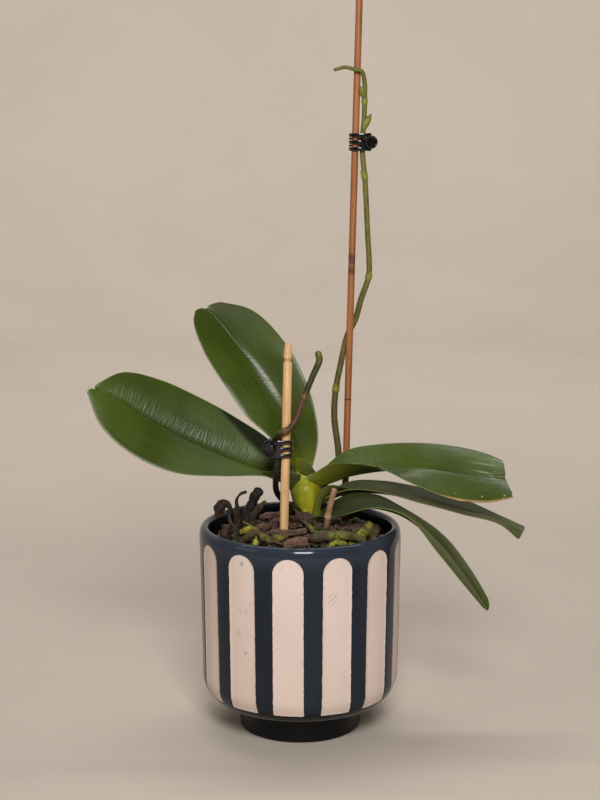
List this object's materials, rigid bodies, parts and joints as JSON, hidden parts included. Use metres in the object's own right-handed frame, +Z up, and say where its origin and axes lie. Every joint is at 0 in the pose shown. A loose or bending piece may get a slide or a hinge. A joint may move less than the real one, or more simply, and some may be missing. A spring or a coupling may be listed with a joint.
{
  "type": "potted orchid",
  "caption": "Orchid with broad leaves and two flower spikes tied to stakes with spring clips, rooted in bark in a striped glazed pot on a narrow foot.",
  "frame": {"origin": "centre of the pot's foot, on the surface that the pot stands on", "axes": "+Z up, the way the plant and its stakes grow; -Y towards the viewer; +X to the viewer's right, where the tall stake stands"},
  "size_m": [0.3004, 0.1431, 0.5079],
  "materials": {
    "glazed_pot": "gloss",
    "bark": "rough",
    "moss": "matt",
    "crown_green": "satin",
    "leaf_green": "satin",
    "leaf_dull": "satin",
    "spike_green": "satin",
    "spike_dry": "matt",
    "root_green": "matt",
    "root_dark": "matt",
    "stained_wood": "satin",
    "pale_wood": "matt",
    "black_plastic": "gloss",
    "spring_steel": "bright"
  },
  "bodies": {
    "root": {"pot": "glazed_pot", "bark_bed": "bark", "moss_tuft": "moss", "crown": "crown_green", "leaf_left": "leaf_green", "leaf_back_left": "leaf_green", "leaf_upper_right": "leaf_green", "leaf_lower_right": "leaf_green", "leaf_mid_right": "leaf_dull", "flower_spike_tall": "spike_green", "flower_spike_short": "spike_dry", "old_spike_stub": "spike_dry", "stake_tall": "stained_wood", "stake_short": "pale_wood", "bark_chip_1": "bark", "bark_chip_2": "bark", "bark_chip_3": "bark", "bark_chip_4": "bark", "bark_chip_5": "bark", "bark_chip_6": "bark", "bark_chip_7": "bark", "bark_chip_8": "bark", "bark_chip_9": "bark", "root_hook": "root_dark", "root_thin_hook": "root_dark", "root_black": "root_dark", "root_olive_short": "root_green", "root_grey": "root_green", "root_yellow": "root_green", "root_twisted": "root_green", "root_olive_low": "root_green", "root_straw": "root_green", "root_green_long": "root_green", "root_green_short": "root_green", "root_yellow_green": "root_green", "root_back": "root_green", "clip_upper_back_jaw": "black_plastic", "clip_upper_spring": "spring_steel", "clip_lower_back_jaw": "black_plastic", "clip_lower_spring": "spring_steel"},
    "clip_upper_jaw": {"clip_upper_front_jaw": "black_plastic"},
    "clip_lower_jaw": {"clip_lower_front_jaw": "black_plastic"}
  },
  "joints": [
    {"name": "clip_upper_open", "type": "hinge", "parent": "root", "child": "clip_upper_jaw", "pos_m": [0.04716, 0.0335, 0.405], "axis": [0, 0, 1], "range_deg": [0, 25], "stiffness_Nm_per_rad": 0.002, "springref_deg": -40.11},
    {"name": "clip_lower_open", "type": "hinge", "parent": "root", "child": "clip_lower_jaw", "pos_m": [-0.01946, -0.018, 0.201], "axis": [0, 0, -1], "range_deg": [0, 25], "stiffness_Nm_per_rad": 0.002, "springref_deg": -40.11}
  ]
}
